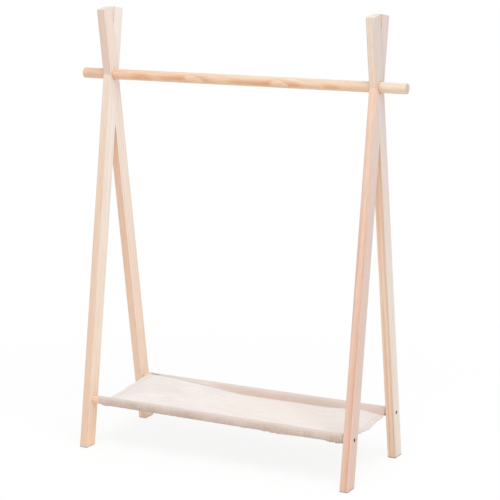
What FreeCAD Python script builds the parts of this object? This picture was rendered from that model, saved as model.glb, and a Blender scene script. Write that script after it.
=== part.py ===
# Open frame wardrobe: two end frames of crossed legs, a hanging rod, two shelf rods and a canvas shelf.
# Millimetres. X runs along the rods, Y to the back, Z up; the origin is on the floor under the middle.
import FreeCAD, Part
import math
import os
from FreeCAD import Vector

# Hanging rod
rod_diameter = 32.0
rod_overhang = 82.5          # past the outer face of each end frame
rod_end_round = 2.0
rod_bore_clearance = 0.4     # on the radius, so that the rod turns

# End frames
frame_spacing = 898.0        # between the middle planes of the two end frames
leg_thickness = 26.0         # along X
leg_width = 47.0             # across the leg in the plane of its end frame
leg_length = 1375.0          # along the middle line, floor to tip
tip_length = 206.5           # the part of it above the crossing
foot_spacing = 354.5         # between the middles of the front and rear feet, on the floor
leg_edge_round = 1.2

# Shelf rods
shelf_rod_diameter = 24.0
shelf_rod_height = 147.5     # rod axis above the floor
socket_depth = 8.0           # blind socket in the inner face of a leg
socket_clearance = 0.15      # on the radius and at the bottom of the socket
shelf_rod_end_bevel = 0.8

# Shelf screws
screw_length = 52.0
screw_head_diameter = 9.6
screw_shank_diameter = 4.6
screw_core_diameter = 3.2
screw_thread_diameter = 4.4
screw_thread_length = 26.0
screw_thread_pitch = 2.0
screw_point = 4.0
screw_sink = 0.6             # top of the head below the face of the leg
screw_clearance = 0.1        # on the radius of every screw hole
recess_width = 1.1           # arms of the cross in the screw head
recess_span = 5.4
recess_depth = 1.8

# Canvas shelf
canvas_thickness = 1.0
sleeve_clearance = 0.3       # sleeve to shelf rod, on the radius
canvas_left_gap = 22.0       # bare rod beside the left legs
canvas_right_gap = 7.5       # bare rod beside the right legs
hem_width = 19.0             # doubled strip along each open side
seam_angle = 60.0            # where the panel meets a sleeve, above or below level
taut_share = 0.08            # left share of the shelf where the panel runs up to the top of the rear sleeve
twist_share = 0.44           # share of the shelf after which it leaves the bottom of the rear sleeve
taut_sag = 1.0               # panel below a straight line, at the left end
loose_sag = 6.0              # the same from the middle to the right end

# Derived sizes
leg_angle = math.asin(foot_spacing / 2 / (leg_length - tip_length))
rod_height = (leg_length - tip_length) * math.cos(leg_angle)
inner_face = frame_spacing / 2 - leg_thickness / 2
outer_face = frame_spacing / 2 + leg_thickness / 2
rod_end = outer_face + rod_overhang
shelf_rod_reach = (rod_height - shelf_rod_height) * math.tan(leg_angle)
shelf_rod_end = inner_face + socket_depth - socket_clearance
screw_head_height = (screw_head_diameter - screw_shank_diameter) / 2
sleeve_inner = shelf_rod_diameter / 2 + sleeve_clearance
sleeve_outer = sleeve_inner + canvas_thickness
canvas_left = canvas_left_gap - inner_face
canvas_right = inner_face - canvas_right_gap
canvas_length = canvas_right - canvas_left


def leg_point(lean, along, across):
    """Point of an end frame's plane, measured up a leg from the crossing and across it to the back.

    A front leg (lean -1) has its foot to the front, a rear leg (lean +1) to the back.
    """
    sine = lean * math.sin(leg_angle)
    cosine = math.cos(leg_angle)
    return Vector(0, across * cosine - along * sine, rod_height + along * cosine + across * sine)


def leg_outline(lean):
    """Corners of a leg: the foot cut level with the floor, the tip cut square to the leg."""
    half = leg_width / 2
    rise = lean * half * math.sin(leg_angle)
    front_foot = -(rod_height - rise) / math.cos(leg_angle)
    back_foot = -(rod_height + rise) / math.cos(leg_angle)
    return [
        leg_point(lean, front_foot, -half),
        leg_point(lean, back_foot, half),
        leg_point(lean, tip_length, half),
        leg_point(lean, tip_length, -half),
    ]


def prism(points, start, length):
    """Solid of an outline in the YZ plane carried along X."""
    face = Part.Face(Part.makePolygon(points + points[:1]))
    solid = face.extrude(Vector(length, 0, 0))
    solid.translate(Vector(start, 0, 0))
    return solid


def cylinder_x(radius, start, end, y, z):
    """Cylinder along X between two positions."""
    low = min(start, end)
    return Part.makeCylinder(radius, abs(end - start), Vector(low, y, z), Vector(1, 0, 0))


def countersunk_hole(side, y, z):
    """Tool for a screw hole through a leg from its outer face, with the seat of the head."""
    outer = side * outer_face
    hole = cylinder_x(screw_shank_diameter / 2 + screw_clearance, side * inner_face, outer, y, z)
    seat_bottom = screw_shank_diameter / 2 + screw_clearance
    seat_depth = screw_sink + screw_head_height
    inward = Vector(-side, 0, 0)
    seat = Part.makeCone(seat_bottom + seat_depth, seat_bottom, seat_depth, Vector(outer, y, z), inward)
    return hole.fuse(seat)


def leg(side, lean):
    """Leg of the left (-1) or right (+1) end frame, with its notch, rod bore, socket and screw hole.

    In the crossing the front leg keeps its left half and the rear leg its right half, in both frames.
    """
    middle = side * frame_spacing / 2
    solid = prism(leg_outline(lean), middle - leg_thickness / 2, leg_thickness)
    solid = solid.makeFillet(leg_edge_round, solid.Edges)
    notch_start = middle if lean < 0 else middle - leg_thickness
    notch = prism(leg_outline(-lean), notch_start, leg_thickness)
    bore_radius = rod_diameter / 2 + rod_bore_clearance
    bore = cylinder_x(bore_radius, middle - leg_thickness, middle + leg_thickness, 0, rod_height)
    y = lean * shelf_rod_reach
    socket_radius = shelf_rod_diameter / 2 + socket_clearance
    socket = cylinder_x(socket_radius, side * inner_face, side * (inner_face + socket_depth), y, shelf_rod_height)
    for tool in (notch, bore, socket, countersunk_hole(side, y, shelf_rod_height)):
        solid = solid.cut(tool)
    return solid


def hanging_rod():
    """Round rod with eased ends."""
    solid = cylinder_x(rod_diameter / 2, -rod_end, rod_end, 0, rod_height)
    ends = [edge for edge in solid.Edges if edge.BoundBox.XLength < 0.01]
    return solid.makeFillet(rod_end_round, ends)


def shelf_rod(lean):
    """Round rod between the left and right legs, with bevelled ends and a screw hole in each end."""
    y = lean * shelf_rod_reach
    solid = cylinder_x(shelf_rod_diameter / 2, -shelf_rod_end, shelf_rod_end, y, shelf_rod_height)
    ends = [edge for edge in solid.Edges if edge.BoundBox.XLength < 0.01]
    solid = solid.makeChamfer(shelf_rod_end_bevel, ends)
    hole_radius = screw_shank_diameter / 2 + screw_clearance
    hole_bottom = outer_face - screw_sink - screw_length - 2 * screw_clearance
    for side in (-1, 1):
        hole = cylinder_x(hole_radius, side * hole_bottom, side * outer_face, y, shelf_rod_height)
        solid = solid.cut(hole)
    return solid


def shelf_screw(side, lean):
    """Countersunk wood screw with a cross recess, its thread drawn as rings, driven in from the outer face."""
    shank = screw_shank_diameter / 2
    core = screw_core_diameter / 2
    thread = screw_thread_diameter / 2
    thread_end = screw_length - screw_point
    thread_start = thread_end - screw_thread_length
    outline = [(0, 0), (0, screw_head_diameter / 2), (screw_head_height, shank), (thread_start, shank)]
    for ring in range(int(screw_thread_length / screw_thread_pitch)):
        outline.append((thread_start + ring * screw_thread_pitch + 0.2 * screw_thread_pitch, core))
        outline.append((thread_start + (ring + 0.7) * screw_thread_pitch, thread))
    outline += [(thread_end, core), (screw_length, 0)]
    points = [Vector(x, radius, 0) for x, radius in outline]
    face = Part.Face(Part.makePolygon(points + points[:1]))
    solid = face.revolve(Vector(0, 0, 0), Vector(1, 0, 0), 360)
    for width, height in ((recess_width, recess_span), (recess_span, recess_width)):
        solid = solid.cut(Part.makeBox(recess_depth, width, height, Vector(0, -width / 2, -height / 2)))
    if side > 0:
        solid.rotate(Vector(0, 0, 0), Vector(0, 0, 1), 180)
    solid.translate(Vector(side * (outer_face - screw_sink), lean * shelf_rod_reach, shelf_rod_height))
    return solid


def canvas_sleeve(lean):
    """Tube of cloth round a shelf rod."""
    y = lean * shelf_rod_reach
    outside = cylinder_x(sleeve_outer, canvas_left, canvas_right, y, shelf_rod_height)
    inside = cylinder_x(sleeve_inner, canvas_left, canvas_right, y, shelf_rod_height)
    return outside.cut(inside)


def canvas_section(x, layers):
    """Closed outline of the cloth across the shelf at x: a shallow arc from sleeve to sleeve."""
    share = (x - canvas_left) / canvas_length
    turned = min(max((share - taut_share) / (twist_share - taut_share), 0.0), 1.0)
    seam = sleeve_outer - canvas_thickness / 2
    inward = seam * math.cos(math.radians(seam_angle))
    seam_drop = seam * math.sin(math.radians(seam_angle))
    front_y = inward - shelf_rod_reach
    front_z = shelf_rod_height - seam_drop
    rear_z = shelf_rod_height + seam_drop * (1 - 2 * turned)
    sag = taut_sag + (loose_sag - taut_sag) * turned
    low = [
        Vector(x, front_y, front_z),
        Vector(x, 0, (front_z + rear_z) / 2 - sag),
        Vector(x, -front_y, rear_z),
    ]
    high = [point + Vector(0, 0, layers * canvas_thickness) for point in low]
    edges = [
        Part.Arc(low[0], low[1], low[2]).toShape(),
        Part.makeLine(low[2], high[2]),
        Part.Arc(high[2], high[1], high[0]).toShape(),
        Part.makeLine(high[0], low[0]),
    ]
    return Part.Wire(edges)


def canvas_strip(stations, layers):
    """Cloth between two sleeves through sections at the given stations, trimmed to the sleeves."""
    solid = Part.makeLoft([canvas_section(x, layers) for x in stations], True, True)
    for lean in (-1, 1):
        y = lean * shelf_rod_reach
        solid = solid.cut(cylinder_x(sleeve_outer, canvas_left - 1, canvas_right + 1, y, shelf_rod_height))
    return solid


panel_stations = [
    canvas_left + hem_width,
    canvas_left + taut_share * canvas_length,
    canvas_left + twist_share * canvas_length,
    canvas_right - hem_width,
]

nodes = {
    "left_front_leg": leg(-1, -1),
    "left_rear_leg": leg(-1, 1),
    "right_front_leg": leg(1, -1),
    "right_rear_leg": leg(1, 1),
    "hanging_rod": hanging_rod(),
    "front_shelf_rod": shelf_rod(-1),
    "rear_shelf_rod": shelf_rod(1),
    "left_front_screw": shelf_screw(-1, -1),
    "left_rear_screw": shelf_screw(-1, 1),
    "right_front_screw": shelf_screw(1, -1),
    "right_rear_screw": shelf_screw(1, 1),
    "canvas_front_sleeve": canvas_sleeve(-1),
    "canvas_rear_sleeve": canvas_sleeve(1),
    "canvas_panel": canvas_strip(panel_stations, 1),
    "canvas_left_hem": canvas_strip([canvas_left, canvas_left + hem_width], 2),
    "canvas_right_hem": canvas_strip([canvas_right - hem_width, canvas_right], 2),
}

os.makedirs("parts", exist_ok=True)
for name, shape in nodes.items():
    shape.exportStep("parts/" + name + ".step")
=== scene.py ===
"""Looks of the open frame wardrobe: pine legs and rods, a sewn canvas shelf, and a pale studio."""
import math

import bpy
import numpy as np
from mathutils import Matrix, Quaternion, Vector


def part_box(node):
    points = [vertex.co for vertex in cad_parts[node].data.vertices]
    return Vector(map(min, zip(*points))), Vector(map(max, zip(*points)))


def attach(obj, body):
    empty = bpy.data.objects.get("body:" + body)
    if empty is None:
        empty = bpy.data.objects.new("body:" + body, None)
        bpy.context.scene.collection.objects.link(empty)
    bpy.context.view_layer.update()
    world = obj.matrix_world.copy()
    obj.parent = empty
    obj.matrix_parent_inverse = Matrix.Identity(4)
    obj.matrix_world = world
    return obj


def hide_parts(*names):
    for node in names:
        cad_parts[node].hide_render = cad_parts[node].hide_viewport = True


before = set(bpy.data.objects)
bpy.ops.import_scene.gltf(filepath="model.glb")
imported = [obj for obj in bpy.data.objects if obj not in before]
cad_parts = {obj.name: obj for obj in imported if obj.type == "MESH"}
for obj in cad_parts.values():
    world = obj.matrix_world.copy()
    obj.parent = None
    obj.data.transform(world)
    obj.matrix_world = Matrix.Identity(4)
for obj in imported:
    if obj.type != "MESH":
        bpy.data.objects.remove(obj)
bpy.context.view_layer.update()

MM = 0.001


def linear(code):
    """Linear colour of an sRGB hex value."""
    values = np.array([int(code[i:i + 2], 16) for i in (0, 2, 4)]) / 255
    values = np.where(values <= 0.04045, values / 12.92, ((values + 0.055) / 1.055) ** 2.4)
    return (*values.tolist(), 1.0)


def add(tree, kind, values=None, links=None, stops=None, **settings):
    """Adds a node.

    settings are its attributes, values its inputs, links what feeds them, stops a ramp's tones.
    """
    node = tree.nodes.new(kind)
    for name, value in settings.items():
        setattr(node, name, value)
    for socket, value in (values or {}).items():
        node.inputs[socket].default_value = value
    for socket, source in (links or {}).items():
        tree.links.new(source, node.inputs[socket])
    if stops:
        elements = node.color_ramp.elements
        while len(elements) < len(stops):
            elements.new(0.5)
        for element, (place, level) in zip(elements, stops):
            element.position = place
            element.color = linear(level) if isinstance(level, str) else (level, level, level, 1)
    return node


def new_material(name):
    """Empty material: (material, its node tree, its output node)."""
    material = bpy.data.materials.new(name)
    material.use_nodes = True
    tree = material.node_tree
    tree.nodes.clear()
    return material, tree, add(tree, "ShaderNodeOutputMaterial")


# Places and sizes read from the frame
front_rod_low, front_rod_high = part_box("front_shelf_rod")
sleeve_low, sleeve_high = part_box("canvas_front_sleeve")
hanging_low, hanging_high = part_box("hanging_rod")
leg_low, leg_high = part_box("right_front_leg")
ROD_Y = -(front_rod_low.y + front_rod_high.y) / 2
ROD_Z = (front_rod_low.z + front_rod_high.z) / 2
ROD_RADIUS = (front_rod_high.z - front_rod_low.z) / 2
CLOTH_LEFT = sleeve_low.x
CLOTH_RIGHT = sleeve_high.x
CLOTH_LENGTH = CLOTH_RIGHT - CLOTH_LEFT
CROSSING_Z = (hanging_low.z + hanging_high.z) / 2
HANGING_RADIUS = (hanging_high.z - hanging_low.z) / 2
FRAME_X = (leg_low.x + leg_high.x) / 2
# a leg's middle line runs from the crossing through the axis of its shelf rod
LEG_ANGLE = math.atan2(ROD_Y, CROSSING_Z - ROD_Z)
LEG_HALF_THICKNESS = (leg_high.x - leg_low.x) / 2
LEG_HALF_WIDTH = 23.5 * MM
LEG_HALF_LENGTH = 687.5 * MM
LEG_TIP = 206.5 * MM  # length above the crossing

WAVE_STEP = math.tau / 20  # a wave pattern repeats after this length at scale 1
WHITE = (1.0, 1.0, 1.0, 1.0)

# Pine: its patterns and signs of use
STRETCH = 18.0  # patterns in the wood are drawn out this much along the grain
STREAK = 14 * MM  # width of the streaks of tone
FIBRE = 2.5 * MM  # width of the fibres, drawn far wider than life so that they show
FIBRE_MEAN = 0.51  # level of the fibre pattern that leaves the tone as it is
FLECK_TONE = 0.99  # brightness there
SIDE_FLECKS = 0.18  # contrast of the flecks on side faces
TONGUE_SLANT = -0.9  # the tongues lie nearly as much along the grain as across
CUT_START = 1.8 * MM  # distances from a cut end where its colour starts and is full
CUT_FULL = 0.4 * MM
EDGE_BAND = 3.0 * MM  # width of the greyed edges
EDGE_SHARE = 0.7  # share of the edge colour at the very edge
FOOT_SHADE_FULL = 0.5 * MM  # heights on a foot where its painted contact shadow starts to fade and is gone
FOOT_SHADE_GONE = 6.0 * MM


def pine(name, board, origin, turn, pith, ring, figure, length, edges=(), tongues=None, holes=(), foot_shade=None,
         top_highlight=None):
    """Planed and sanded pine: a pale ground with warm growth rings, matt, with greyed edges and cut ends.

    The grain runs along the local Z axis that origin and turn give. Rings are circles round a pith that lies
    beside the piece, so long faces show stripes and tongues and cut ends show arcs. figure is how far and how
    often the rings wander. board gives the early wood's colours at places along the grain on the front and side
    faces, those of handled edges, which are darker where they form the line of a joint, as grime and as a
    painted shadow line of the joint, and of late wood and cut ends, the strength of the rings at places along the
    grain, the share of it that is left where they are faintest, the share of it on side faces, and the contrast
    of the flecks on front faces. length is the middle and the half of the piece's length along the grain. edges
    are the local axes, with the half sizes, whose faces meet in the handled edges. tongues are places along the
    grain with the part of a ring by which the pattern is shifted there. holes are middles of holes along X, the
    distances where their rims start to fade and are gone, and the tint of the rims: painted shade in the gap
    round a bore and in a screw's countersink, where the wood is also crushed, and painted warm light beside the
    right bore. foot_shade is a painted contact shadow that darkens a foot towards the floor. top_highlight is
    the height above the middle where a painted highlight on a lying rod's top starts, the height where it is
    palest, and the rod's radius. board then also gives the tints of that painted highlight at two places along
    the grain.
    """
    material, tree, output = new_material(name)
    places = add(tree, "ShaderNodeTexCoord")
    grain = add(tree, "ShaderNodeMapping", {"Location": origin, "Rotation": turn, "Scale": (1, 1, STRETCH)},
                {"Vector": places.outputs["Object"]}, vector_type="TEXTURE")
    local = add(tree, "ShaderNodeSeparateXYZ", links={0: grain.outputs["Vector"]})
    shifted = add(tree, "ShaderNodeVectorMath", {1: (*pith, 0)}, {0: grain.outputs["Vector"]}, operation="ADD")
    # a ring every few millimetres, drawn two or three times as wide as life so that it shows
    rings = add(tree, "ShaderNodeTexWave",
                {"Scale": WAVE_STEP / ring, "Distortion": figure[0], "Detail": 2.0,
                 "Detail Scale": figure[1], "Detail Roughness": 0.5},
                {"Vector": shifted.outputs["Vector"]}, wave_type="RINGS", rings_direction="Z",
                wave_profile="SAW")
    if tongues:
        first, last = tongues[0][0], tongues[-1][0]
        most = max(part for _, part in tongues)
        slanted = add(tree, "ShaderNodeMath", {1: TONGUE_SLANT / STRETCH},
                      {0: local.outputs["X"], 2: local.outputs["Z"]}, operation="MULTIPLY_ADD")
        along = add(tree, "ShaderNodeMapRange", {"From Min": first / STRETCH, "From Max": last / STRETCH},
                    {"Value": slanted.outputs[0]})
        shift = add(tree, "ShaderNodeValToRGB", links={"Fac": along.outputs["Result"]},
                    stops=[((place - first) / (last - first), part / most) for place, part in tongues])
        shift.color_ramp.interpolation = "CARDINAL"
        phase = add(tree, "ShaderNodeMath", {1: math.tau * most}, {0: shift.outputs["Color"]},
                    operation="MULTIPLY")
        tree.links.new(phase.outputs[0], rings.inputs["Phase Offset"])
    # across a ring the early wood darkens slowly to late wood, which ends sharply
    growth = add(tree, "ShaderNodeValToRGB", links={"Fac": rings.outputs["Fac"]},
                 stops=[(0.0, 0.0), (0.35, 0.25), (0.88, 1.0), (1.0, 0.05)])
    streaks = add(tree, "ShaderNodeTexNoise", {"Scale": 1 / STREAK, "Detail": 2.0, "Roughness": 0.55},
                  {"Vector": grain.outputs["Vector"]})
    fibres = add(tree, "ShaderNodeTexNoise", {"Scale": 1 / FIBRE, "Detail": 3.0, "Roughness": 0.6},
                 {"Vector": grain.outputs["Vector"]})
    normal = add(tree, "ShaderNodeSeparateXYZ", links={0: places.outputs["Normal"]})
    facing = add(tree, "ShaderNodeMath", links={0: normal.outputs["X"]}, operation="ABSOLUTE")
    tones = {}
    for part in ("front", "side", "rings", "edge"):
        if part not in board:
            continue
        first, last = board[part][0][0], board[part][-1][0]
        along = add(tree, "ShaderNodeMapRange", {"From Min": first / STRETCH, "From Max": last / STRETCH},
                    {"Value": local.outputs["Z"]})
        tones[part] = add(tree, "ShaderNodeValToRGB", links={"Fac": along.outputs["Result"]},
                          stops=[((place - first) / (last - first), tone) for place, tone in board[part]])
    faces = add(tree, "ShaderNodeMix",
                links={0: facing.outputs[0], 6: tones["front"].outputs["Color"],
                       7: tones["side"].outputs["Color"]},
                data_type="RGBA")
    from_middle = add(tree, "ShaderNodeMath", {1: length[0] / STRETCH}, {0: local.outputs["Z"]},
                      operation="SUBTRACT")
    far = add(tree, "ShaderNodeMath", links={0: from_middle.outputs[0]}, operation="ABSOLUTE")
    cut = add(tree, "ShaderNodeMapRange",
              {"From Min": (length[1] - CUT_START) / STRETCH, "From Max": (length[1] - CUT_FULL) / STRETCH},
              {"Value": far.outputs[0]}, interpolation_type="SMOOTHSTEP")
    ground = add(tree, "ShaderNodeMix", {7: linear(board["end"])},
                 {0: cut.outputs["Result"], 6: faces.outputs[2]}, data_type="RGBA")
    depth = add(tree, "ShaderNodeMapRange",
                {"From Min": 0.32, "From Max": 0.68, "To Min": board["faint"], "To Max": 1.0},
                {"Value": streaks.outputs["Fac"]})
    shown = add(tree, "ShaderNodeMapRange", {"To Min": 1.0, "To Max": board["side_rings"]},
                {"Value": facing.outputs[0]})
    ringed = growth
    for share in (depth.outputs["Result"], tones["rings"].outputs["Color"], shown.outputs["Result"]):
        ringed = add(tree, "ShaderNodeMath", links={0: ringed.outputs[0], 1: share}, operation="MULTIPLY")
    # painted highlight: the rod's top is painted paler and cooler, standing for the light from above
    if top_highlight:
        highlight_reach = add(tree, "ShaderNodeMapRange", {"From Min": -top_highlight[0], "From Max": -top_highlight[1]},
                   {"Value": local.outputs["X"]}, interpolation_type="SMOOTHSTEP")
        # the figure is strong on the front, which is cut along the rings, and fades above and below
        above = add(tree, "ShaderNodeMapRange", {"From Min": top_highlight[2], "From Max": -top_highlight[2]},
                    {"Value": local.outputs["X"]})
        figured = add(tree, "ShaderNodeValToRGB", links={"Fac": above.outputs["Result"]},
                      stops=[(0.08, 0.2), (0.26, 1.0), (0.58, 1.0), (0.92, 0.3)])
        ringed = add(tree, "ShaderNodeMath", links={0: ringed.outputs[0], 1: figured.outputs["Color"]},
                     operation="MULTIPLY")
    colour = add(tree, "ShaderNodeMix", {7: linear(board["late"])},
                 {0: ringed.outputs[0], 6: ground.outputs[2]}, data_type="RGBA").outputs[2]
    # the painted highlight's tints, kept off the cut ends
    if top_highlight:
        (first, left_tint), (last, right_tint) = board["highlighted"]
        along = add(tree, "ShaderNodeMapRange", {"From Min": first / STRETCH, "From Max": last / STRETCH},
                    {"Value": local.outputs["Z"]}, interpolation_type="SMOOTHSTEP")
        tint = add(tree, "ShaderNodeMix", {6: (*left_tint, 1.0), 7: (*right_tint, 1.0)},
                   {0: along.outputs["Result"]}, data_type="RGBA")
        highlighted = add(tree, "ShaderNodeVectorMath", links={0: colour, 1: tint.outputs[2]}, operation="MULTIPLY")
        uncut = add(tree, "ShaderNodeMath", {0: 1.0}, {1: cut.outputs["Result"]}, operation="SUBTRACT")
        highlight_share = add(tree, "ShaderNodeMath", links={0: highlight_reach.outputs["Result"], 1: uncut.outputs[0]},
                      operation="MULTIPLY")
        colour = add(tree, "ShaderNodeMix", links={0: highlight_share.outputs[0], 6: colour, 7: highlighted.outputs[0]},
                     data_type="RGBA").outputs[2]
    if edges:
        corners = []
        for axis, half in edges:
            away = add(tree, "ShaderNodeMath", links={0: local.outputs[axis]}, operation="ABSOLUTE")
            near = {"From Min": half - EDGE_BAND, "From Max": half, "To Max": EDGE_SHARE}
            corners.append(add(tree, "ShaderNodeMapRange", near, {"Value": away.outputs[0]},
                               interpolation_type="SMOOTHSTEP"))
        handled = add(tree, "ShaderNodeMath",
                      links={0: corners[0].outputs["Result"], 1: corners[1].outputs["Result"]},
                      operation="MULTIPLY")
        colour = add(tree, "ShaderNodeMix",
                     links={0: handled.outputs[0], 6: colour, 7: tones["edge"].outputs["Color"]},
                     data_type="RGBA").outputs[2]
    contrast = add(tree, "ShaderNodeMapRange", {"To Min": board["flecks"], "To Max": SIDE_FLECKS},
                   {"Value": facing.outputs[0]})
    fleck = add(tree, "ShaderNodeMath", {1: FIBRE_MEAN}, {0: fibres.outputs["Fac"]}, operation="SUBTRACT")
    flecks = add(tree, "ShaderNodeMath", {2: FLECK_TONE},
                 {0: fleck.outputs[0], 1: contrast.outputs["Result"]}, operation="MULTIPLY_ADD")
    colour = add(tree, "ShaderNodeVectorMath", links={0: colour, "Scale": flecks.outputs[0]},
                 operation="SCALE").outputs[0]
    # painted shade round the holes: the rims are darkened as painted shadow, and beside the right bore tinted
    # warm as painted light
    for middle, dark, clean, tint in holes:
        offset = add(tree, "ShaderNodeVectorMath", {1: middle}, {0: places.outputs["Object"]},
                     operation="SUBTRACT")
        flat = add(tree, "ShaderNodeVectorMath", {1: (0, 1, 1)}, {0: offset.outputs[0]}, operation="MULTIPLY")
        away = add(tree, "ShaderNodeVectorMath", links={0: flat.outputs[0]}, operation="LENGTH")
        clear = add(tree, "ShaderNodeMapRange", {"From Min": dark, "From Max": clean},
                    {"Value": away.outputs["Value"]}, interpolation_type="SMOOTHSTEP")
        rim_shade = add(tree, "ShaderNodeMix", {6: (*tint, 1.0), 7: WHITE}, {0: clear.outputs["Result"]},
                  data_type="RGBA")
        colour = add(tree, "ShaderNodeVectorMath", links={0: colour, 1: rim_shade.outputs[2]},
                     operation="MULTIPLY").outputs[0]
    # painted contact shadow: the foot is darkened towards the floor
    if foot_shade:
        floor = add(tree, "ShaderNodeSeparateXYZ", links={0: places.outputs["Object"]})
        foot_shaded = add(tree, "ShaderNodeMapRange",
                     {"From Min": FOOT_SHADE_FULL, "From Max": FOOT_SHADE_GONE, "To Min": foot_shade, "To Max": 1.0},
                     {"Value": floor.outputs["Z"]}, interpolation_type="SMOOTHSTEP")
        colour = add(tree, "ShaderNodeVectorMath", links={0: colour, "Scale": foot_shaded.outputs["Result"]},
                     operation="SCALE").outputs[0]
    gloss = add(tree, "ShaderNodeMapRange", {"From Min": 0.3, "From Max": 0.7, "To Min": 0.66, "To Max": 0.52},
                {"Value": fibres.outputs["Fac"]})
    # late wood stands up a little, beside the fibres
    height = add(tree, "ShaderNodeMath", {1: 0.35}, {0: growth.outputs["Color"], 2: fibres.outputs["Fac"]},
                 operation="MULTIPLY_ADD")
    relief = add(tree, "ShaderNodeBump", {"Strength": 0.25, "Distance": 0.25 * MM},
                 {"Height": height.outputs[0]})
    shader = add(tree, "ShaderNodeBsdfPrincipled", {"IOR": 1.5, "Specular IOR Level": 0.3},
                 {"Base Color": colour, "Roughness": gloss.outputs["Result"],
                  "Normal": relief.outputs["Normal"]})
    tree.links.new(shader.outputs["BSDF"], output.inputs["Surface"])
    return material


# Canvas: its patterns
THREAD_STEP = 1.4 * MM  # real spacing is about 0.6 mm, far below a pixel, so the weave is drawn coarser
SLUB_LENGTH = 55 * MM  # of the thick places in a thread
SLUB_STRETCH = 22.0  # how many times longer than wide they are
BLOTCH = 120 * MM  # size of the uneven patches
SHADE_SHARE = 0.85  # share of another tone where it is full


def canvas(name, ground, slub, shades=()):
    """Unbleached cotton canvas, plain woven: matt, off-white, with darker slubs along both threads.

    The UV map is in metres along the threads. shades are other tones, most of them painted shade and painted
    highlight, that take over along one direction of the cloth: the UV axis, where each starts, where it is full,
    and its colour.
    """
    material, tree, output = new_material(name)
    places = add(tree, "ShaderNodeTexCoord")
    weave = [add(tree, "ShaderNodeTexWave",
                 {"Scale": WAVE_STEP / THREAD_STEP, "Distortion": 0.6, "Detail": 1.0, "Detail Scale": 0.4},
                 {"Vector": places.outputs["UV"]}, wave_type="BANDS", bands_direction=direction)
             for direction in ("X", "Y")]
    cross = add(tree, "ShaderNodeMath", links={0: weave[0].outputs["Fac"], 1: weave[1].outputs["Fac"]},
                operation="MULTIPLY")
    slubs = []
    for squeeze in ((1.0, SLUB_STRETCH, 1.0), (SLUB_STRETCH, 1.0, 1.0)):
        along = add(tree, "ShaderNodeMapping", {"Scale": squeeze}, {"Vector": places.outputs["UV"]})
        slubs.append(add(tree, "ShaderNodeTexNoise",
                         {"Scale": 1 / SLUB_LENGTH, "Detail": 3.0, "Roughness": 0.6},
                         {"Vector": along.outputs["Vector"]}))
    both = add(tree, "ShaderNodeMath", links={0: slubs[0].outputs["Fac"], 1: slubs[1].outputs["Fac"]},
               operation="ADD")
    blotch = add(tree, "ShaderNodeTexNoise", {"Scale": 1 / BLOTCH, "Detail": 2.0},
                 {"Vector": places.outputs["UV"]})
    uneven = add(tree, "ShaderNodeMath", links={0: both.outputs[0], 1: blotch.outputs["Fac"]}, operation="ADD")
    amount = add(tree, "ShaderNodeMapRange", {"From Min": 1.2, "From Max": 1.9}, {"Value": uneven.outputs[0]})
    tone = add(tree, "ShaderNodeMix", {6: linear(ground), 7: linear(slub)}, {0: amount.outputs["Result"]},
               data_type="RGBA")
    place = add(tree, "ShaderNodeSeparateXYZ", links={0: places.outputs["UV"]})
    for axis, start, full, shade in shades:
        taken = add(tree, "ShaderNodeMapRange", {"From Min": start, "From Max": full, "To Max": SHADE_SHARE},
                    {"Value": place.outputs[axis]}, interpolation_type="SMOOTHSTEP")
        tone = add(tree, "ShaderNodeMix", {7: linear(shade)}, {0: taken.outputs["Result"], 6: tone.outputs[2]},
                   data_type="RGBA")
    deep = add(tree, "ShaderNodeMapRange", {"To Min": 0.95, "To Max": 1.04}, {"Value": cross.outputs[0]})
    colour = add(tree, "ShaderNodeVectorMath", links={0: tone.outputs[2], "Scale": deep.outputs["Result"]},
                 operation="SCALE")
    relief = add(tree, "ShaderNodeBump", {"Strength": 0.35, "Distance": 0.3 * MM}, {"Height": cross.outputs[0]})
    shader = add(tree, "ShaderNodeBsdfPrincipled",
                 {"Roughness": 0.92, "IOR": 1.5, "Specular IOR Level": 0.15, "Sheen Weight": 0.1,
                  "Sheen Roughness": 0.5},
                 {"Base Color": colour.outputs[0], "Normal": relief.outputs["Normal"]})
    tree.links.new(shader.outputs["BSDF"], output.inputs["Surface"])
    return material


def blackened_steel():
    """Blackened steel of the screws: dark, with a dull sheen that varies over the head."""
    material, tree, output = new_material("blackened_steel")
    places = add(tree, "ShaderNodeTexCoord")
    patches = add(tree, "ShaderNodeTexNoise", {"Scale": 1 / (2.5 * MM), "Detail": 3.0},
                  {"Vector": places.outputs["Object"]})
    colour = add(tree, "ShaderNodeMix", {6: linear("171412"), 7: linear("2A2623")}, {0: patches.outputs["Fac"]},
                 data_type="RGBA")
    gloss = add(tree, "ShaderNodeMapRange", {"To Min": 0.38, "To Max": 0.62}, {"Value": patches.outputs["Fac"]})
    shader = add(tree, "ShaderNodeBsdfPrincipled", {"Metallic": 0.9},
                 {"Base Color": colour.outputs[2], "Roughness": gloss.outputs["Result"]})
    tree.links.new(shader.outputs["BSDF"], output.inputs["Surface"])
    return material


def paint(node, material):
    """Gives a piece of the frame its finish."""
    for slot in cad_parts[node].material_slots:
        slot.material = material


# Legs: one finish each, because each was sawn from another board. Their tones along the grain also hold painted
# light: the left legs' feet are painted lighter and warmer against the shade under the shelf, the left front
# leg's front is painted lighter at its tip, where the other tip shades it, and the right legs' tips are painted
# greyer and darker, as painted shade
LEG_SPAN = (LEG_TIP - LEG_HALF_LENGTH, LEG_HALF_LENGTH)
LEG_EDGES = (("X", LEG_HALF_THICKNESS), ("Y", LEG_HALF_WIDTH))
LEG_FIGURE = (1.6, 0.55)
END_GRAIN = "DCD9D5"
GRAIN_SWAY = 0.004  # the grain runs out of true by these angles
GRAIN_TILT = 0.005
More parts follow.
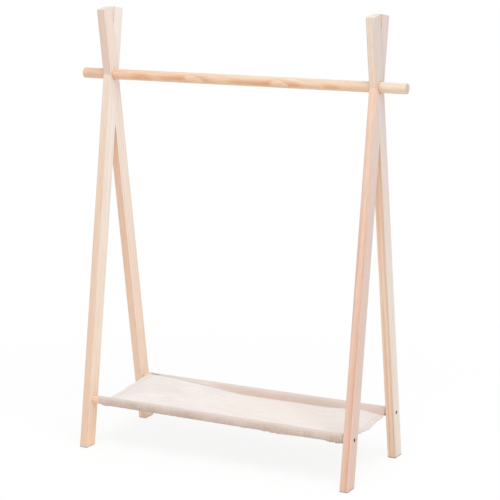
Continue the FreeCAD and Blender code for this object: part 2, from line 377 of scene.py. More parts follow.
# the bores' rims are painted dark, a painted shadow of the gap round the rod, and that shade lies a little to the
# front and below
BORE_MIDDLE = (0.0, -0.9 * MM, CROSSING_Z - 0.7 * MM)
LEFT_RIM_SHADES = [(BORE_MIDDLE, HANGING_RADIUS, 18.0 * MM, (0.86, 0.86, 0.86))]
# round the right bore the rim is painted darker, a painted shadow of the rod, and the wood beside it is painted
# warmer, as warm light thrown back by the rod
RIGHT_RIM_SHADES = [(BORE_MIDDLE, HANGING_RADIUS, 19.0 * MM, (0.62, 0.52, 0.46)),
              (BORE_MIDDLE, 18.0 * MM, 28.0 * MM, (1.04, 0.96, 0.88))]
# the wood round a screw is painted dark: crushed wood, and painted shade of the countersink seat
SCREW_RIM_SHADE = (4.8 * MM, 7.0 * MM, (0.35, 0.35, 0.35))
# side, lean, pith beside the leg, ring, painted shade at the rims of the bore, painted contact shadow of the
# foot, board
legs = {
    "left_front_leg": (-1, -1, (0.031, 0.012), 7.5 * MM, LEFT_RIM_SHADES, 0.62,
                       {"front": [(-1.15, "E8C7AE"), (-0.25, "E8D0BC"), (-0.12, "E8D6C2"), (0.08, "ECD9CA"),
                                  (0.17, "FAEBE3")],
                        "side": [(-1.15, "FDD8BB"), (-0.90, "F3E0CE"), (-0.30, "F3E8DE"), (0.08, "F0E5DB")],
                        "late": "E3C1A6", "edge": [(-1.15, "D9C5B6"), (0.20, "D9C5B6")], "end": END_GRAIN,
                        "rings": [(-1.15, 1.0), (-0.40, 1.0), (0.08, 0.6)], "faint": 0.10, "side_rings": 0.6,
                        "flecks": 0.34}),
    "left_rear_leg": (-1, 1, (-0.026, 0.022), 8.5 * MM, LEFT_RIM_SHADES, 0.75,
                      {"front": [(-1.17, "FBDCC2"), (-0.95, "F2D2BB"), (-0.55, "E7C5AC"), (-0.10, "EAC9B1"),
                                 (0.08, "DFC8B9")],
                       "side": [(-1.17, "FFE4CC"), (-0.90, "F8DECA"), (-0.30, "F3E4D8"), (0.20, "EEDDD1")],
                       "late": "E3C0A5", "end": END_GRAIN,
                       # darker along the joint's line: grime and a painted shadow line of the joint
                       "edge": [(-1.17, "D9C5B6"), (-0.05, "D9C5B6"), (0.0, "C0AC9E"), (0.16, "C0AC9E"),
                                (0.19, "D9C5B6")],
                       "rings": [(-1.17, 1.0), (-0.40, 1.0), (0.20, 0.5)], "faint": 0.10, "side_rings": 0.8,
                       "flecks": 0.34}),
    "right_front_leg": (1, -1, (0.024, -0.028), 7.0 * MM, RIGHT_RIM_SHADES, 0.45,
                        {"front": [(-1.15, "E7C0AC"), (-0.60, "E6C2AF"), (-0.20, "E7CAB7"),
                                   (0.0, "EBCAB7"), (0.08, "DCCDC2")],
                         "side": [(-1.15, "E6CCC0"), (0.20, "E3D3CC")], "late": "D19E7F",
                         "edge": [(-1.15, "D6BFB0"), (0.20, "D6BFB0")], "end": END_GRAIN,
                         "rings": [(-1.15, 1.0), (-0.60, 0.9), (-0.20, 0.5), (0.10, 0.3)], "faint": 0.40,
                         "side_rings": 0.5, "flecks": 0.42}),
    "right_rear_leg": (1, 1, (-0.034, -0.015), 8.0 * MM, RIGHT_RIM_SHADES, 0.45,
                       {"front": [(-1.15, "F3D1B4"), (-0.60, "EFD2BC"), (-0.10, "EAC6AC"), (0.08, "E6D4C5")],
                        "side": [(-1.15, "F1E3D7"), (-0.60, "F1E6DD"), (0.20, "DED1CA")], "late": "D6AB8E",
                        # darker along the joint's line: grime and a painted shadow line of the joint
                        "edge": [(-1.15, "D6C3B5"), (-0.05, "D6C3B5"), (0.0, "B09C8F"), (0.16, "B09C8F"),
                                 (0.19, "D6C3B5")],
                        "end": END_GRAIN,
                        "rings": [(-1.15, 1.0), (-0.40, 0.9), (0.10, 0.5)], "faint": 0.25, "side_rings": 0.5,
                        "flecks": 0.38}),
}
for node, (side, lean, pith, ring, rim_shades, foot_shade, board) in legs.items():
    holes = rim_shades + [((0.0, lean * ROD_Y, ROD_Z), *SCREW_RIM_SHADE)]
    turn = (lean * LEG_ANGLE + GRAIN_SWAY * side, GRAIN_TILT * lean, 0.0)
    paint(node, pine("planed_pine_" + node, board, (side * FRAME_X, 0.0, CROSSING_Z), turn, pith, ring,
                     LEG_FIGURE, LEG_SPAN, LEG_EDGES, holes=holes, foot_shade=foot_shade))

# Rods: turned, with the grain along X. The hanging rod's pith is seven rings behind its front, and its rings
# wander along it, which gives long tongues of late wood that end round islands of early wood
ALONG_X = (0.0, math.pi / 2, 0.0)
EVEN_RINGS = [(-0.50, 1.0), (0.50, 1.0)]
ROD_PITH = (0.012, -0.058)
ROD_RINGS = 7
ROD_RING = (math.hypot(*ROD_PITH) + HANGING_RADIUS) / ROD_RINGS
ROD_FIGURE = (2.0, 6.0)
# painted highlight on the hanging rod's top: where it starts, where it is palest, and the rod's radius
ROD_TOP_HIGHLIGHT = (3 * MM, 12 * MM, HANGING_RADIUS)
ROD_TONGUES = [(-0.545, 0.40), (-0.490, 0.52), (-0.430, 0.40), (-0.405, 0.32), (-0.372, 0.50), (-0.343, 0.84),
               (-0.322, 0.90), (-0.302, 0.60), (-0.278, 0.32), (-0.256, 0.66), (-0.228, 0.78), (-0.194, 0.90),
               (-0.176, 1.04), (-0.154, 1.24), (-0.132, 1.18), (-0.114, 0.92), (-0.098, 0.70), (-0.072, 0.38),
               (-0.036, 0.36), (-0.010, 0.72), (0.045, 0.74), (0.092, 0.86), (0.116, 1.02), (0.140, 1.22),
               (0.156, 1.12), (0.172, 0.80), (0.200, 0.70), (0.224, 0.36), (0.274, 0.32), (0.290, 0.66),
               (0.322, 0.64), (0.338, 0.30)]
rod_tones = [(-0.545, "E6C4AC"), (-0.450, "E7C4AC"), (-0.400, "EBC7AB"), (0.150, "EAC9AE"),
             (0.300, "E8C9AE"), (0.440, "E9CAAF"), (0.490, "E9D2BC")]
rod_board = {"front": rod_tones, "side": rod_tones, "late": "D8A27A", "end": "D0CDC4", "rings": EVEN_RINGS,
             "faint": 0.6, "side_rings": 0.6, "flecks": 0.40,
             "highlighted": [(-0.30, (0.97, 1.02, 1.03)), (0.12, (0.94, 1.10, 1.22))]}
paint("hanging_rod", pine("turned_pine_hanging_rod", rod_board, (0.0, 0.0, CROSSING_Z), ALONG_X, ROD_PITH,
                          ROD_RING, ROD_FIGURE, (0.0, hanging_high.x), tongues=ROD_TONGUES, top_highlight=ROD_TOP_HIGHLIGHT))
SHELF_RING = 7.0 * MM
SHELF_FIGURE = (1.8, 0.55)
shelf_tones = [(-0.10, "F0D8C4"), (0.40, "F0D8C4")]
shelf_board = {"front": shelf_tones, "side": shelf_tones, "late": "E2B694", "end": END_GRAIN,
               "rings": EVEN_RINGS, "faint": 0.4, "side_rings": 1.0, "flecks": 0.15}
for node, y, pith in (("front_shelf_rod", -ROD_Y, (0.018, 0.01)), ("rear_shelf_rod", ROD_Y, (-0.016, 0.014))):
    paint(node, pine("turned_pine_" + node, shelf_board, (0.0, y, ROD_Z), ALONG_X, pith, SHELF_RING,
                     SHELF_FIGURE, (0.0, front_rod_high.x)))

# Screws
steel = blackened_steel()
for node in ("left_front_screw", "left_rear_screw", "right_front_screw", "right_rear_screw"):
    paint(node, steel)


def quad_piece(name, points, quads, material, corner_uv=None):
    """Piece from points and four-cornered faces, smooth, with an optional UV pair per face corner."""
    mesh = bpy.data.meshes.new(name)
    mesh.vertices.add(len(points))
    mesh.vertices.foreach_set("co", np.ascontiguousarray(points, dtype=np.float32).ravel())
    mesh.loops.add(quads.size)
    mesh.loops.foreach_set("vertex_index", np.ascontiguousarray(quads, dtype=np.int32).ravel())
    mesh.polygons.add(len(quads))
    mesh.polygons.foreach_set("loop_start", np.arange(0, quads.size, 4, dtype=np.int32))
    mesh.update(calc_edges=True)
    if corner_uv is not None:
        layer = mesh.uv_layers.new(name="threads")
        layer.uv.foreach_set("vector", np.ascontiguousarray(corner_uv, dtype=np.float32).ravel())
    mesh.polygons.foreach_set("use_smooth", np.ones(len(quads), dtype=bool))
    mesh.materials.append(material)
    piece = bpy.data.objects.new(name, mesh)
    bpy.context.scene.collection.objects.link(piece)
    return piece


def grid_quads(rows, columns, closed):
    """Corner numbers of a grid's faces; closed joins the last column to the first."""
    index = np.arange(rows * columns).reshape(rows, columns)
    left = index if closed else index[:, :-1]
    right = np.roll(index, -1, axis=1) if closed else index[:, 1:]
    return np.stack([left[:-1], right[:-1], right[1:], left[1:]], axis=-1).reshape(-1, 4)


def cloth_piece(name, points, uv, material, node, wall, wall_offset=0.0, closed=False):
    """Cloth from a grid of points, thickened, moving with the canvas and shown in place of a plain piece.

    uv holds one pair in metres per grid point, with one more column where the grid is closed.
    """
    corner_uv = np.stack([uv[:-1, :-1], uv[:-1, 1:], uv[1:, 1:], uv[1:, :-1]], axis=2).reshape(-1, 2)
    quads = grid_quads(*points.shape[:2], closed)
    piece = quad_piece(name, points.reshape(-1, 3), quads, material, corner_uv)
    thickness = piece.modifiers.new("cloth_thickness", "SOLIDIFY")
    thickness.thickness = wall
    thickness.offset = wall_offset
    thickness.use_even_offset = True
    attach(piece, "canvas")
    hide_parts(node)
    return piece


def smooth_step(values, low, high):
    """0 below low, 1 above high, and a smooth S between them."""
    t = np.clip((values - low) / (high - low), 0, 1)
    return t * t * (3 - 2 * t)


# Canvas shelf: one cloth with a sleeve along each long edge and a hem along each short one
SLEEVE_RADIUS = ROD_RADIUS + 1.3 * MM
SEAM_ANGLE = math.radians(60.0)  # of the front seam, below level
SEAM_ROOM = 0.2 * MM  # between a sleeve and the panel's edge
PANEL_DEPTH = 2 * ROD_Y
PANEL_WALL = 0.9 * MM
SLEEVE_WALL = 0.6 * MM
HEM_WALL = 0.7 * MM
END_GAP = 1.2 * MM  # the panel and the hems stay this far inside the sleeves' ends

# long soft folds: first and last share of the length, share of the depth at mid length of the fold, slant,
# half width as a share of the depth, height in mm before the gain
FOLD_GAIN = 1.4
FOLD_FADE = 0.12  # share of the length over which a fold fades at each end
FOLDS = [
    (0.14, 0.62, 0.42, 0.36, 0.030, 1.8),
    (0.10, 0.55, 0.28, 0.30, 0.028, -1.4),
    (0.05, 0.42, 0.62, 0.42, 0.026, 1.6),
    (0.06, 0.36, 0.84, -0.34, 0.022, 2.0),
    (0.10, 0.40, 0.76, -0.20, 0.020, -1.4),
    (0.22, 0.80, 0.14, 0.10, 0.030, 2.2),
    (0.34, 0.92, 0.60, 0.14, 0.034, 2.2),
    (0.48, 0.98, 0.78, 0.04, 0.026, 1.8),
    (0.42, 0.86, 0.70, 0.10, 0.022, -1.4),
    (0.58, 1.05, 0.46, -0.10, 0.030, 2.3),
    (0.62, 1.05, 0.27, 0.04, 0.028, -2.2),
    (0.60, 0.76, 0.36, -1.30, 0.030, 3.2),
    (0.66, 1.05, 0.88, -0.02, 0.022, 1.6),
    (0.80, 1.08, 0.58, 0.20, 0.026, -2.2),
]
# slight ripples: waves along the length, radians across the depth, phase
RIPPLE_COUNT = 40
RIPPLE_HEIGHT = 8.0 * MM  # of a ripple with one radian across the depth
chance = np.random.default_rng(41)
RIPPLES = np.stack([chance.uniform(-3.0, 5.0, RIPPLE_COUNT),
                    chance.uniform(14, 110, RIPPLE_COUNT) * chance.choice([-1, 1], RIPPLE_COUNT),
                    chance.uniform(0, math.tau, RIPPLE_COUNT)], axis=-1)
# the right edge's wave: middle and half width as shares of the depth, drop in mm
EDGE_WAVE = [(0.57, 0.10, 1.9), (0.28, 0.18, -2.6)]
# the rear seam's fall: share of the length, degrees above level
REAR_SEAM = [(0.0, 60), (0.06, 58), (0.12, 48), (0.17, 34), (0.22, 20), (0.27, 10), (0.32, -2),
             (0.37, -20), (0.43, -35), (0.50, -36)]
HUMP = 36  # degrees by which the rear seam rises towards the right
HUMP_FALL = 34  # degrees by which it falls again at the right hem

# Sleeves: how the turned ends, the ridges of the gathers and the left mouth are shaped
SLEEVE_END = 0.018  # share of the length that is doubled at each end
SLEEVE_END_RISE = 0.5 * MM
RIDGE_LEAN = 0.6  # ridges lean as they run round the rod
RIDGE_WANDER = 1.5  # and their spacing wanders along it, this much and this often
RIDGE_WANDERS = 17
SEAM_CROWDING = 0.75  # the grid lies closer together at the seam, where the sleeve comes to an edge
MOUTH_SLANT = 14 * MM  # the left mouth is cut back below by this much
MOUTH_FADE = 30 * MM

# Hems: a turned edge, then a flat strip to the sewn inner edge
HEM_WIDTH = 19 * MM
HEM_BEND = 0.12  # share of the strip that is taken by the turned edge
HEM_HALF_HEIGHT = 0.9 * MM
HEM_RISE = 0.2 * MM
HEM_TUCK = 0.75 * MM  # the sewn edge is drawn down by this much
HEM_TUCK_START = 0.94
HEM_ROLL = 0.7 * MM  # how far the turned edge stands out


def rear_seam_angle(x):
    """Where the panel meets the rear sleeve, in radians above level.

    It falls by a table from the sleeve's upper side near the left end to its lower side before mid length, rises
    again towards the right, where the cloth stands up in a hump, and falls once more at the right hem.
    """
    share = (x - CLOTH_LEFT) / CLOTH_LENGTH
    fall = np.interp(share, *zip(*REAR_SEAM))
    hump = HUMP * smooth_step(share, 0.76, 0.94) - HUMP_FALL * np.clip((share - 0.905) / 0.085, 0, 1)
    return np.radians(fall + hump)


def seam_angle(x, lean):
    """Where the panel meets a sleeve, in radians above level: below the front one all along."""
    return 0 * x - SEAM_ANGLE if lean < 0 else rear_seam_angle(x)


def sleeve_radius(x, lean):
    """Radius of a sleeve without its gathers.

    The rear one is tight on its rod at the left, apart from its flared mouth, and loose at the right.
    """
    share = (x - CLOTH_LEFT) / CLOTH_LENGTH
    if lean < 0:
        return SLEEVE_RADIUS + 0 * share
    tight, flare, slack = 12.7, 0.6, 0.9
    return (tight + flare * (1 - smooth_step(share, 0.0, 0.06)) + slack * smooth_step(share, 0.30, 1.0)) * MM


def seam_reach(x, lean):
    """Distance of a seam from its rod's axis: close at the left, where the cloth is taut, wider to the right."""
    share = (x - CLOTH_LEFT) / CLOTH_LENGTH
    if lean < 0:
        taut, slack = 14.2, 3.4
        return (taut + slack * smooth_step(share, 0.05, 0.55)) * MM
    gap, slack = 0.9, 3.9
    return sleeve_radius(x, lean) + (gap + slack * smooth_step(share, 0.12, 0.42)) * MM


def panel_points(x, v):
    """Point of the panel at x and at share v of the way from the front seam to the rear one.

    A straight line from seam to seam, less a parabola of sag that grows from the left end to the middle, plus
    soft folds, ridges with a bell-shaped section along slanted lines that fade at both ends, plus a sum of
    slight sine ripples that run mostly along the cloth and grow to the right, less two bells along the right
    edge, which dips behind its middle and lifts before it.
    """
    rear_angle = rear_seam_angle(x)
    front_seam = seam_reach(x, -1) + SEAM_ROOM
    rear_seam = seam_reach(x, 1) + SEAM_ROOM
    front_y = -ROD_Y + front_seam * math.cos(SEAM_ANGLE)
    front_z = ROD_Z - front_seam * math.sin(SEAM_ANGLE)
    rear_y = ROD_Y - rear_seam * np.cos(rear_angle)
    rear_z = ROD_Z + rear_seam * np.sin(rear_angle)
    share = (x - CLOTH_LEFT) / CLOTH_LENGTH
    taut_sag, more_sag = 0.8, 5.2
    sag = (taut_sag + more_sag * smooth_step(share, 0.05, 0.5)) * MM
    y = front_y + (rear_y - front_y) * v
    z = front_z + (rear_z - front_z) * v - sag * 4 * v * (1 - v)
    window = smooth_step(v, 0.0, 0.10) * (1 - smooth_step(v, 0.90, 1.0))
    for first, last, middle, slant, width, height in FOLDS:
        line = middle + slant * (share - (first + last) / 2)
        fade_in = smooth_step(share, first, first + FOLD_FADE)
        fade_out = 1 - smooth_step(share, last - FOLD_FADE, last)
        bell = np.exp(-((v - line) / width) ** 2)
        z = z + FOLD_GAIN * height * MM * (fade_in * fade_out) * window * bell
    edge = smooth_step(share, 0.93, 1.0)
    # every ripple is as steep as the others, so the short ones are low
    ripple = sum(np.sin(math.tau * along * share + across * v + phase) / abs(across)
                 for along, across, phase in RIPPLES)
    left_ripple, more_ripple, hem_calm = 0.9, 2.9, 0.7
    strength = (left_ripple + more_ripple * smooth_step(share, 0.2, 0.6)) * (1 - hem_calm * edge)
    z = z + RIPPLE_HEIGHT * ripple * window * strength
    wave = sum(drop * np.exp(-((v - middle) / width) ** 2) for middle, width, drop in EDGE_WAVE)
    return np.stack(np.broadcast_arrays(x, y, z - wave * MM * edge), axis=-1)


def sleeve_points(x, turn, lean, gathers, lumps):
    """Point of a sleeve at x and at an angle round its rod: a drop, slightly baggy below, with gathers.

    The drop is a circle with two tangents to the seam. Its radius grows by round ridges with sharp valleys along
    x that are strongest below and where the gathers are, by bell-shaped lumps below, and at the doubled ends.
    """
    away = np.angle(np.exp(1j * (turn - seam_angle(x, lean))))
    below = 0.5 - 0.5 * np.sin(turn)
    base = sleeve_radius(x, lean)
    half = np.arccos(base / seam_reach(x, lean))
    radius = base / np.cos(np.clip(half - np.abs(away), 0, None))
    share = (x - CLOTH_LEFT) / CLOTH_LENGTH
    for centre, spread, wave, height in gathers:
        bell = np.exp(-((share - centre) / spread) ** 2)
        wander = RIDGE_WANDER * np.sin(RIDGE_WANDERS * share)
        ridge = np.abs(np.sin(math.pi * x / wave + RIDGE_LEAN * np.sin(turn) + wander))
        radius = radius + height * MM * bell * (0.5 + 0.5 * below) * ridge
    for centre, spread, height in lumps:
        radius = radius + height * MM * below ** 3 * np.exp(-((share - centre) / spread) ** 2)
    ends = 1 - smooth_step(share, 0.0, SLEEVE_END) + smooth_step(share, 1 - SLEEVE_END, 1.0)
    radius = radius + SLEEVE_END_RISE * ends
    y = lean * ROD_Y - lean * radius * np.cos(turn)
    z = ROD_Z + radius * np.sin(turn)
    return np.stack(np.broadcast_arrays(x, y, z), axis=-1)


def hem_points(side, across, v):
    """Point of a hem: the panel's edge turned over, a strip that lies on the panel and rounds its edge.

    across runs from under the edge (0), round it in a half circle, to the sewn inner edge on top (1).
    """
    edge = (CLOTH_LEFT if side < 0 else CLOTH_RIGHT) - side * END_GAP
    bend = across < HEM_BEND
    inward = np.where(bend, 0.0, (across - HEM_BEND) / (1 - HEM_BEND)) * HEM_WIDTH
    angle = np.clip(across / HEM_BEND, 0, 1) * math.pi
    lift = np.where(bend, -np.cos(angle), 1.0) * HEM_HALF_HEIGHT
    lift = lift + HEM_RISE - HEM_TUCK * smooth_step(across, HEM_TUCK_START, 1.0)
    out = np.where(bend, np.sin(angle), 0.0) * HEM_ROLL
    return panel_points(edge - side * inward, v) + np.stack(
        np.broadcast_arrays(side * out, 0.0 * lift, lift), axis=-1)


# painted shade: a strip along the rear seam is painted darker, a painted crease shadow where the panel meets the
# sleeve, and the hems are painted greyer, as painted shade of two layers that let less light through than one,
# with their turned edge painted darker still, as shade where it faces away from the light. The panel is a little
# warmer to the right
PANEL_SEAM_SHADE = ("Y", 0.965 * PANEL_DEPTH, 0.980 * PANEL_DEPTH, "DACABE")
PANEL_WARM = ("X", -0.24, 0.10, "F0E8E3")
LEFT_HEM_EDGE_SHADE = ("X", 2.5 * MM, 0.0, "CFCAC5")
RIGHT_HEM_EDGE_SHADE = ("X", 4.0 * MM, 0.0, "C6C1BC")
panel_canvas = canvas("woven_cotton_canvas_panel", "F6F0ED", "E8DFDA", [PANEL_SEAM_SHADE, PANEL_WARM])
left_hem_canvas = canvas("woven_cotton_canvas_left_hem", "F0EDE7", "E4DFD8", [LEFT_HEM_EDGE_SHADE])
right_hem_canvas = canvas("woven_cotton_canvas_right_hem", "F0E8E3", "E5DBD5", [RIGHT_HEM_EDGE_SHADE])
# the sleeves are darker and warmer than the panel, partly from the rods' warm colour that comes through the cloth
# drawn round them and partly as painted shade, most on the front sleeve; their crowns are painted paler, a
# painted highlight of the light from above
FRONT_CROWN_HIGHLIGHT = ("Y", SLEEVE_RADIUS * math.radians(165), SLEEVE_RADIUS * math.radians(100), "E0D5CE")
REAR_CROWN_HIGHLIGHT = ("Y", SLEEVE_RADIUS * math.radians(38), SLEEVE_RADIUS * math.radians(68), "E1D8D2")
# at the left the panel is drawn over the rear rod, and the sleeve there is painted as pale as the panel, a
# painted highlight of the light from above
REAR_LEFT_HIGHLIGHT = ("X", CLOTH_LEFT + 0.33 * CLOTH_LENGTH, CLOTH_LEFT + 0.24 * CLOTH_LENGTH, "EAE1D9")
front_sleeve_canvas = canvas("woven_cotton_canvas_front_sleeve", "DBC9BE", "BFA89A", [FRONT_CROWN_HIGHLIGHT])
rear_sleeve_canvas = canvas("woven_cotton_canvas_rear_sleeve", "E7D5CB", "DDC8BD", [REAR_LEFT_HIGHLIGHT, REAR_CROWN_HIGHLIGHT])

# rows along the cloth and columns across it; a hem's rows run across its strip, round the bend and on the flat
PANEL_GRID = (260, 150)
SLEEVE_GRID = (840, 48)
HEM_GRID = (7, 14, 96)

panel_x = CLOTH_LEFT + END_GAP + (CLOTH_LENGTH - 2 * END_GAP) * np.linspace(0, 1, PANEL_GRID[0])[:, None]
panel_v = np.linspace(0, 1, PANEL_GRID[1])[None, :]
panel = cloth_piece("canvas_panel_cloth", panel_points(panel_x, panel_v),
                    np.stack(np.broadcast_arrays(panel_x, PANEL_DEPTH * panel_v), axis=-1),
                    panel_canvas, "canvas_panel", PANEL_WALL)

# gathers: centre and spread as shares of the length, wave length, height in mm; lumps: centre, spread, height
FRONT_GATHERS = [(0.76, 0.05, 12 * MM, 3.0), (0.97, 0.035, 9 * MM, 2.8), (0.60, 0.20, 13 * MM, 0.9),
                 (0.25, 0.30, 31 * MM, 0.6), (0.03, 0.02, 8 * MM, 0.6)]
FRONT_LUMPS = [(0.61, 0.012, 1.2), (0.69, 0.008, 1.6), (0.722, 0.008, 2.2), (0.748, 0.008, 1.8),
               (0.945, 0.010, 2.0), (0.975, 0.010, 1.8), (0.03, 0.012, 1.6), (0.84, 0.06, 0.8)]
REAR_GATHERS = [(0.5, 0.4, 34 * MM, 0.3), (0.95, 0.05, 9 * MM, 0.8), (0.78, 0.10, 12 * MM, 0.5)]
sleeve_turn = np.linspace(0, math.tau, SLEEVE_GRID[1] + 1)[None, :]
sleeve_turn = sleeve_turn - SEAM_CROWDING * np.sin(sleeve_turn)
sleeve_x = CLOTH_LEFT + CLOTH_LENGTH * np.linspace(0, 1, SLEEVE_GRID[0])[:, None]
for lean, node, finish, gathers, lumps in (
        (-1, "canvas_front_sleeve", front_sleeve_canvas, FRONT_GATHERS, FRONT_LUMPS),
        (1, "canvas_rear_sleeve", rear_sleeve_canvas, REAR_GATHERS, [])):
    round_rod = seam_angle(sleeve_x, lean) + sleeve_turn[:, ::-lean]
    below = 0.5 - 0.5 * np.sin(round_rod[:, :-1])
    mouth = MOUTH_SLANT * below * np.exp(-(sleeve_x - CLOTH_LEFT) / MOUTH_FADE)
    points = sleeve_points(sleeve_x + mouth, round_rod[:, :-1], lean, gathers, lumps)
    uv = np.stack(np.broadcast_arrays(sleeve_x, SLEEVE_RADIUS * round_rod), axis=-1)
    cloth_piece(node + "_cloth", points, uv, finish, node, SLEEVE_WALL,
                                wall_offset=-1.0, closed=True)

hem_across = np.concatenate([np.linspace(0, HEM_BEND, HEM_GRID[0]),
                             np.linspace(HEM_BEND + 0.01, 1, HEM_GRID[1])])[:, None]
hem_v = np.linspace(0.03, 0.97, HEM_GRID[2])[None, :]
for side, node, finish in (
        (-1, "canvas_left_hem", left_hem_canvas),
        (1, "canvas_right_hem", right_hem_canvas)):
    points = hem_points(side, hem_across, hem_v)
    uv = np.stack(np.broadcast_arrays(hem_across * HEM_WIDTH, PANEL_DEPTH * hem_v), axis=-1)
    cloth_piece(node + "_cloth", points if side < 0 else points[:, ::-1], uv, finish,
                            node, HEM_WALL)

# Stitches
STITCH = 4.0 * MM
STITCH_HALF = 0.42  # half of the visible length, as a share of the step
STITCH_RISE = 0.30 * MM
STITCH_GRID = (6, 6)  # rings of a stitch and corners of a ring
THREAD_RADIUS = 0.36 * MM
PLY_STEP = 0.9 * MM  # of the twisted plies, drawn coarser than life so that they show


def stitch_row(name, path, up, material):
    """A row of stitches along a path of points: short arched threads, one to each step of the path.

    Each stitch is a circle carried along its step, raised by half a sine in the up direction, whose radius goes
    to nothing at both ends.
    """
    along = np.diff(path, axis=0)
    middle = (path[:-1] + path[1:]) / 2
    lift = (up[:-1] + up[1:]) / 2
    lift = lift / np.linalg.norm(lift, axis=-1, keepdims=True)
    sideways = np.cross(along, lift)
    sideways = sideways / np.linalg.norm(sideways, axis=-1, keepdims=True)
    rings, sides = STITCH_GRID
    s = np.linspace(-1, 1, rings)
    phi = np.arange(sides) * math.tau / sides
    thick = THREAD_RADIUS * np.sqrt(np.clip(1 - s ** 4, 0, 1))
    rise = STITCH_RISE * np.cos(s * math.pi / 2)
    centre = (middle[:, None, :] + along[:, None, :] * (STITCH_HALF * s)[None, :, None]
              + lift[:, None, :] * rise[None, :, None])
    ring = (sideways[:, None, None, :] * np.cos(phi)[None, None, :, None]
            + lift[:, None, None, :] * np.sin(phi)[None, None, :, None]) * thick[None, :, None, None]
    points = (centre[:, :, None, :] + ring).reshape(-1, 3)
    one = grid_quads(rings, sides, True)
    quads = (one[None] + rings * sides * np.arange(len(along))[:, None, None]).reshape(-1, 4)
    piece = quad_piece(name, points, quads, material)
    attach(piece, "canvas")
    return piece


def cotton_thread(name, dark, pale):
    """Cotton sewing thread: matt, twisted, with light and dark plies."""
    material, tree, output = new_material(name)
    places = add(tree, "ShaderNodeTexCoord")
    plies = add(tree, "ShaderNodeTexWave", {"Scale": WAVE_STEP / PLY_STEP, "Distortion": 0.4},
                {"Vector": places.outputs["Object"]}, bands_direction="DIAGONAL")
    colour = add(tree, "ShaderNodeMix", {6: linear(dark), 7: linear(pale)}, {0: plies.outputs["Fac"]},
                 data_type="RGBA")
    relief = add(tree, "ShaderNodeBump", {"Strength": 0.4, "Distance": 0.1 * MM},
                 {"Height": plies.outputs["Fac"]})
    shader = add(tree, "ShaderNodeBsdfPrincipled", {"Roughness": 0.8, "Specular IOR Level": 0.25},
                 {"Base Color": colour.outputs[2], "Normal": relief.outputs["Normal"]})
    tree.links.new(shader.outputs["BSDF"], output.inputs["Surface"])
    return material


def lifted(points, height):
    """Points raised by a height, and the up direction at each."""
    up = np.zeros_like(points)
    up[:, 2] = 1.0
    return points + height * up, up


# heights of the thread's middle over the middle of the cloth
SEAM_LIFT = 0.55 * MM
HEM_LIFT = 0.40 * MM
TACK_LIFT = 1.9 * MM
HEM_ROW = 0.88  # place of a hem's stitches across its strip
thread = cotton_thread("twisted_cotton_thread", "D9CABD", "EFE7DF")
seam_x = np.arange(CLOTH_LEFT + 6 * MM, CLOTH_RIGHT - 5 * MM, STITCH)
for name, v in (("front_seam_stitches", 0.020), ("rear_seam_stitches", 0.980)):
    path, up = lifted(panel_points(seam_x, v), SEAM_LIFT)
    stitch_row(name, path, up, thread)
stitch_v = np.arange(0.05, 0.95, STITCH / PANEL_DEPTH)
for side, name in ((-1, "left_hem_stitches"), (1, "right_hem_stitches")):
    path, up = lifted(hem_points(side, HEM_ROW, stitch_v), HEM_LIFT)
    stitch_row(name, path, up, thread)

# a bar tack holds the corner of the left hem to the rear sleeve: a dense zigzag in grey thread
TACK_POINTS = 39
grey_thread = cotton_thread("twisted_grey_thread", "A9A8A2", "BEBDB7")
tack_x = CLOTH_LEFT + np.linspace(10 * MM, 40 * MM, TACK_POINTS)
tack_v = np.where(np.arange(TACK_POINTS) % 2 == 0, 0.976, 0.992)
path, up = lifted(panel_points(tack_x, tack_v), TACK_LIFT)
stitch_row("left_hem_bar_tack", path, up, grey_thread)


# Studio: white paper, an even white surrounding and one lamp
FLOOR_REACH = 60.0
SHADOW_SHARE = 0.18  # how much of the paper's own light and shadow is seen near the object
SHADOW_NEAR = 0.7  # distances from the middle where it starts to fade and is gone
SHADOW_FAR = 2.0
FILL = 0.80  # strength of the surrounding's light; to the eye it is plain white


def studio_floor():
    """Matt white paper that keeps the object's shadow and runs into plain white further out."""
    material, tree, output = new_material("white_paper")
    places = add(tree, "ShaderNodeTexCoord")
    distance = add(tree, "ShaderNodeVectorMath", links={0: places.outputs["Object"]}, operation="LENGTH")
    near = add(tree, "ShaderNodeMapRange",
               {"From Min": SHADOW_NEAR, "From Max": SHADOW_FAR, "To Min": SHADOW_SHARE, "To Max": 0.0},
               {"Value": distance.outputs["Value"]}, interpolation_type="SMOOTHSTEP")
    rays = add(tree, "ShaderNodeLightPath")
    seen = add(tree, "ShaderNodeMath",
               links={0: rays.outputs["Is Camera Ray"], 1: rays.outputs["Is Glossy Ray"]}, operation="MAXIMUM")
    clear = add(tree, "ShaderNodeMath", links={0: seen.outputs[0], 1: rays.outputs["Is Transmission Ray"]},
                operation="MAXIMUM")
    paper = add(tree, "ShaderNodeBsdfDiffuse", {"Color": linear("FAFAFA")})
    white = add(tree, "ShaderNodeEmission", {"Color": WHITE, "Strength": 1.0})
    blend = add(tree, "ShaderNodeMixShader",
                links={0: near.outputs["Result"], 1: white.outputs[0], 2: paper.outputs[0]})
    final = add(tree, "ShaderNodeMixShader",
                links={0: clear.outputs[0], 1: paper.outputs[0], 2: blend.outputs[0]})
    tree.links.new(final.outputs[0], output.inputs["Surface"])
    return material


corners = FLOOR_REACH * np.array([(-1, -1, 0), (1, -1, 0), (1, 1, 0), (-1, 1, 0)])
quad_piece("studio_floor", corners, np.array([[0, 1, 2, 3]]), studio_floor())

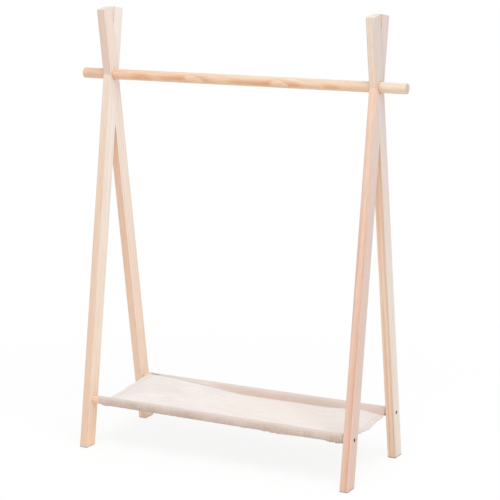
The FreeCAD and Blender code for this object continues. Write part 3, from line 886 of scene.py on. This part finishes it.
world = bpy.data.worlds.new("studio")
bpy.context.scene.world = world
world.use_nodes = True
sky = world.node_tree
sky.nodes.clear()
rays = add(sky, "ShaderNodeLightPath")
seen = add(sky, "ShaderNodeMath", links={0: rays.outputs["Is Camera Ray"], 1: rays.outputs["Is Glossy Ray"]},
           operation="MAXIMUM")
strength = add(sky, "ShaderNodeMapRange", {"To Min": FILL, "To Max": 1.0}, {"Value": seen.outputs[0]})
ambient = add(sky, "ShaderNodeBackground", {"Color": WHITE}, {"Strength": strength.outputs["Result"]})
add(sky, "ShaderNodeOutputWorld", links={"Surface": ambient.outputs[0]})

# one large soft box, high on the camera's side, so that front and side faces get about the same light
lamp_target = Vector((0.0, 0.0, 0.65))
lamp_azimuth, lamp_elevation, lamp_distance = math.radians(38), math.radians(58), 4.6
lamp = bpy.data.lights.new("soft_box", "AREA")
lamp.shape = "SQUARE"
lamp.size = 2.8
lamp.energy = 90.0
lamp_side = Vector((math.sin(lamp_azimuth) * math.cos(lamp_elevation),
                    -math.cos(lamp_azimuth) * math.cos(lamp_elevation), math.sin(lamp_elevation)))
soft_box = bpy.data.objects.new("soft_box", lamp)
soft_box.location = lamp_target + lamp_side * lamp_distance
soft_box.rotation_euler = (-lamp_side).to_track_quat("-Z", "Y").to_euler()
bpy.context.scene.collection.objects.link(soft_box)

# Camera at the photograph's place: azimuth and elevation round the object, and a long lens
SENSOR = 36.0
PICTURE_WIDTH = 500  # pixels
FOCAL_PIXELS = 1663.8  # focal length in those pixels
azimuth, elevation, roll = (math.radians(angle) for angle in (27.95, 11.43, -0.10))
distance = 5.0468
target = Vector((0.03834, 0.0, 0.64203))
back = Vector((math.sin(azimuth) * math.cos(elevation), -math.cos(azimuth) * math.cos(elevation),
               math.sin(elevation)))
lens = bpy.data.cameras.new("camera")
lens.sensor_width = SENSOR
lens.lens = FOCAL_PIXELS * SENSOR / PICTURE_WIDTH
lens.clip_end = 200.0
camera = bpy.data.objects.new("camera", lens)
camera.location = target + back * distance
camera.rotation_mode = "QUATERNION"
camera.rotation_quaternion = (-back).to_track_quat("-Z", "Y") @ Quaternion((0, 0, 1), roll)
bpy.context.scene.collection.objects.link(camera)
bpy.context.scene.camera = camera
bpy.context.scene.view_settings.view_transform = "Standard"
